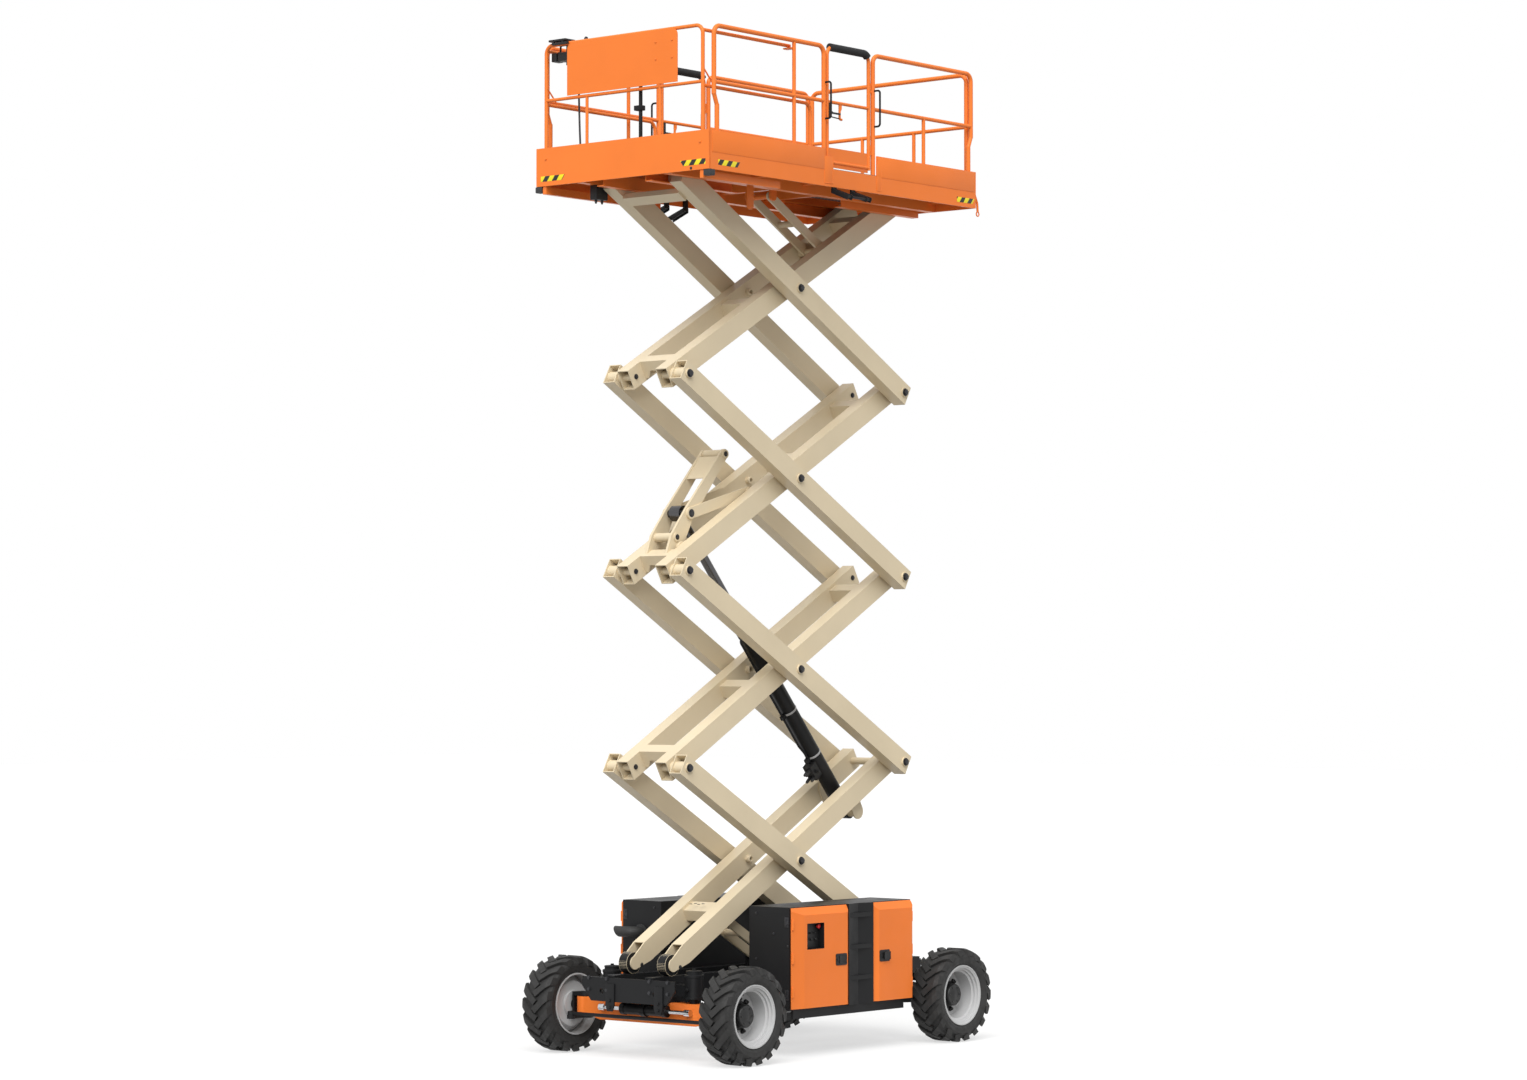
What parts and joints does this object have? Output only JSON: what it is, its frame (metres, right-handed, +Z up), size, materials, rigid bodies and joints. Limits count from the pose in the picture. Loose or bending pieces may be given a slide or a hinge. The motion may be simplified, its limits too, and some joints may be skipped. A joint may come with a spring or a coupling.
{
  "type": "scissor lift",
  "caption": "Self-propelled rough-terrain scissor lift, half raised: tan crossed-arm mast on an orange and black wheeled chassis, with a railed orange platform and sliding deck.",
  "frame": {"origin": "on the ground, under the middle of the platform and of the wheels", "axes": "+X to the steered front, +Y to the left side, +Z up"},
  "size_m": [3.81, 2.386, 8.9765],
  "materials": {
    "orange_paint": "satin",
    "tan_paint": "satin",
    "black_paint": "satin",
    "tyre_rubber": "matte",
    "wheel_grey": "satin",
    "rod_chrome": "polished",
    "deck_plate": "satin",
    "engine_grey": "matte",
    "cable_rubber": "matte"
  },
  "bodies": {
    "chassis": {"chassis_frame": "black_paint", "front_axle": "orange_paint", "rear_axle": "black_paint", "cabinet_left": "black_paint", "cabinet_right": "black_paint", "engine": "engine_grey"},
    "knuckle_left": {"knuckle_left": "black_paint"},
    "knuckle_right": {"knuckle_right": "black_paint"},
    "tie_rod": {"tie_rod": "black_paint"},
    "steering_rod": {"steering_rod": "rod_chrome"},
    "wheel_front_left": {"tyre_front_left": "tyre_rubber", "wheel_front_left": "wheel_grey"},
    "wheel_front_right": {"tyre_front_right": "tyre_rubber", "wheel_front_right": "wheel_grey"},
    "wheel_rear_left": {"tyre_rear_left": "tyre_rubber", "wheel_rear_left": "wheel_grey"},
    "wheel_rear_right": {"tyre_rear_right": "tyre_rubber", "wheel_rear_right": "wheel_grey"},
    "door_front_left": {"door_front_left": "orange_paint"},
    "door_front_right": {"door_front_right": "orange_paint"},
    "door_rear_left": {"door_rear_left": "orange_paint"},
    "door_rear_right": {"door_rear_right": "orange_paint"},
    "base_link": {"base_link": "tan_paint"},
    "inner_1": {"inner_arms_1": "tan_paint"},
    "inner_2": {"inner_arms_2": "tan_paint"},
    "inner_3": {"inner_arms_3": "tan_paint"},
    "inner_4": {"inner_arms_4": "tan_paint"},
    "outer_1": {"outer_arms_1": "tan_paint"},
    "outer_2": {"outer_arms_2": "tan_paint"},
    "outer_3": {"outer_arms_3": "tan_paint"},
    "outer_4": {"outer_arms_4": "tan_paint"},
    "lift_barrel": {"lift_barrel": "black_paint"},
    "lift_rod": {"lift_rod": "rod_chrome"},
    "top_link": {"top_link": "tan_paint"},
    "platform": {"deck_frame": "orange_paint", "deck_floor": "deck_plate", "guard_rails": "orange_paint", "steps_and_handles": "black_paint"},
    "gate_left": {"gate_left": "orange_paint"},
    "gate_right": {"gate_right": "orange_paint"},
    "extension": {"extension_deck": "deck_plate", "extension_front": "orange_paint", "extension_rails": "orange_paint", "console": "black_paint", "console_cable": "cable_rubber"}
  },
  "joints": [
    {"name": "lift", "type": "hinge", "parent": "chassis", "child": "base_link", "pos_m": [0, 0, 0.827], "axis": [0, -1, 0], "range_deg": [-25.15, 30.1]},
    {"name": "base_link_head", "type": "hinge", "parent": "base_link", "child": "inner_1", "pos_m": [0.7634, 0, 1.25715], "axis": [0, 1, 0], "range_deg": [-50.4, 60.3]},
    {"name": "centre_pin_1", "type": "hinge", "parent": "inner_1", "child": "outer_1", "pos_m": [0, 0, 1.68731], "axis": [0, -1, 0], "range_deg": [-50.4, 60.3]},
    {"name": "front_pin_1", "type": "hinge", "parent": "outer_1", "child": "inner_2", "pos_m": [1.5268, 0, 2.54762], "axis": [0, 1, 0], "range_deg": [-50.4, 60.3]},
    {"name": "centre_pin_2", "type": "hinge", "parent": "inner_2", "child": "outer_2", "pos_m": [0, 0, 3.40793], "axis": [0, -1, 0], "range_deg": [-50.4, 60.3]},
    {"name": "front_pin_2", "type": "hinge", "parent": "outer_2", "child": "inner_3", "pos_m": [1.5268, 0, 4.26823], "axis": [0, 1, 0], "range_deg": [-50.4, 60.3]},
    {"name": "centre_pin_3", "type": "hinge", "parent": "inner_3", "child": "outer_3", "pos_m": [0, 0, 5.12854], "axis": [0, -1, 0], "range_deg": [-50.4, 60.3]},
    {"name": "front_pin_3", "type": "hinge", "parent": "outer_3", "child": "inner_4", "pos_m": [1.5268, 0, 5.98885], "axis": [0, 1, 0], "range_deg": [-50.4, 60.3]},
    {"name": "centre_pin_4", "type": "hinge", "parent": "inner_4", "child": "outer_4", "pos_m": [0, 0, 6.84916], "axis": [0, -1, 0], "range_deg": [-50.4, 60.3]},
    {"name": "top_link_foot", "type": "hinge", "parent": "inner_4", "child": "top_link", "pos_m": [-0.7634, 0, 7.27932], "axis": [0, -1, 0], "range_deg": [-50.4, 60.3]},
    {"name": "top_link_head", "type": "hinge", "parent": "top_link", "child": "platform", "pos_m": [0, 0, 7.70947], "axis": [0, 1, 0], "range_deg": [-25.25, 30.2]},
    {"name": "lift_barrel_foot", "type": "hinge", "parent": "inner_1", "child": "lift_barrel", "pos_m": [-1.21136, 0, 2.09095], "axis": [0, -1, 0], "range_deg": [-50.4, 60.3]},
    {"name": "lift_rod_slide", "type": "slide", "parent": "lift_barrel", "child": "lift_rod", "axis": [0.6563, 0, 0.7545], "range_m": [-0.9238, 1.1052]},
    {"name": "steer_left", "type": "hinge", "parent": "chassis", "child": "knuckle_left", "pos_m": [1.475, 0.79, 0.427], "axis": [0, 0, 1], "range_deg": [-32, 32]},
    {"name": "steer_right", "type": "hinge", "parent": "chassis", "child": "knuckle_right", "pos_m": [1.475, -0.79, 0.427], "axis": [0, 0, 1], "range_deg": [-32.1, 32.1]},
    {"name": "tie_rod_end", "type": "hinge", "parent": "knuckle_left", "child": "tie_rod", "pos_m": [1.675, 0.79, 0.427], "axis": [0, 0, -1], "range_deg": [-32.1, 32.1]},
    {"name": "steering_rod_slide", "type": "slide", "parent": "chassis", "child": "steering_rod", "axis": [0, 1, 0], "range_m": [-0.1125, 0.1125]},
    {"name": "wheel_front_left_spin", "type": "hinge", "parent": "knuckle_left", "child": "wheel_front_left", "pos_m": [1.475, 1.036, 0.427], "axis": [0, 1, 0], "continuous": true},
    {"name": "wheel_rear_left_spin", "type": "hinge", "parent": "chassis", "child": "wheel_rear_left", "pos_m": [-1.475, 1.036, 0.427], "axis": [0, 1, 0], "continuous": true},
    {"name": "door_front_left_hinge", "type": "hinge", "parent": "chassis", "child": "door_front_left", "pos_m": [0.767, 1.008, 0.87], "axis": [0, 0, -1], "range_deg": [0, 100]},
    {"name": "door_rear_left_hinge", "type": "hinge", "parent": "chassis", "child": "door_rear_left", "pos_m": [-0.927, 1.008, 0.87], "axis": [0, 0, 1], "range_deg": [0, 100]},
    {"name": "gate_left_hinge", "type": "hinge", "parent": "platform", "child": "gate_left", "pos_m": [-0.368, 0.9817, 8.40947], "axis": [0, 0, -1], "range_deg": [0, 90]},
    {"name": "wheel_front_right_spin", "type": "hinge", "parent": "knuckle_right", "child": "wheel_front_right", "pos_m": [1.475, -1.036, 0.427], "axis": [0, 1, 0], "continuous": true},
    {"name": "wheel_rear_right_spin", "type": "hinge", "parent": "chassis", "child": "wheel_rear_right", "pos_m": [-1.475, -1.036, 0.427], "axis": [0, 1, 0], "continuous": true},
    {"name": "door_front_right_hinge", "type": "hinge", "parent": "chassis", "child": "door_front_right", "pos_m": [0.767, -1.008, 0.87], "axis": [0, 0, 1], "range_deg": [0, 100]},
    {"name": "door_rear_right_hinge", "type": "hinge", "parent": "chassis", "child": "door_rear_right", "pos_m": [-0.927, -1.008, 0.87], "axis": [0, 0, -1], "range_deg": [0, 100]},
    {"name": "gate_right_hinge", "type": "hinge", "parent": "platform", "child": "gate_right", "pos_m": [-0.368, -0.9817, 8.40947], "axis": [0, 0, 1], "range_deg": [0, 90]},
    {"name": "extension_slide", "type": "slide", "parent": "platform", "child": "extension", "axis": [1, 0, 0], "range_m": [0, 1.2]}
  ],
  "couplings": [
    {"joint": "base_link_head", "follows": "lift", "ratio": 2},
    {"joint": "centre_pin_1", "follows": "lift", "ratio": 2},
    {"joint": "front_pin_1", "follows": "lift", "ratio": 2},
    {"joint": "centre_pin_2", "follows": "lift", "ratio": 2},
    {"joint": "front_pin_2", "follows": "lift", "ratio": 2},
    {"joint": "centre_pin_3", "follows": "lift", "ratio": 2},
    {"joint": "front_pin_3", "follows": "lift", "ratio": 2},
    {"joint": "centre_pin_4", "follows": "lift", "ratio": 2},
    {"joint": "top_link_foot", "follows": "lift", "ratio": 2},
    {"joint": "top_link_head", "follows": "lift", "ratio": 1},
    {"joint": "lift_barrel_foot", "follows": "lift", "ratio": 2},
    {"joint": "lift_rod_slide", "follows": "lift", "m_per_rad": 2.1},
    {"joint": "steer_right", "follows": "steer_left", "ratio": 1},
    {"joint": "tie_rod_end", "follows": "steer_left", "ratio": 1},
    {"joint": "steering_rod_slide", "follows": "steer_left", "m_per_rad": 0.2}
  ]
}
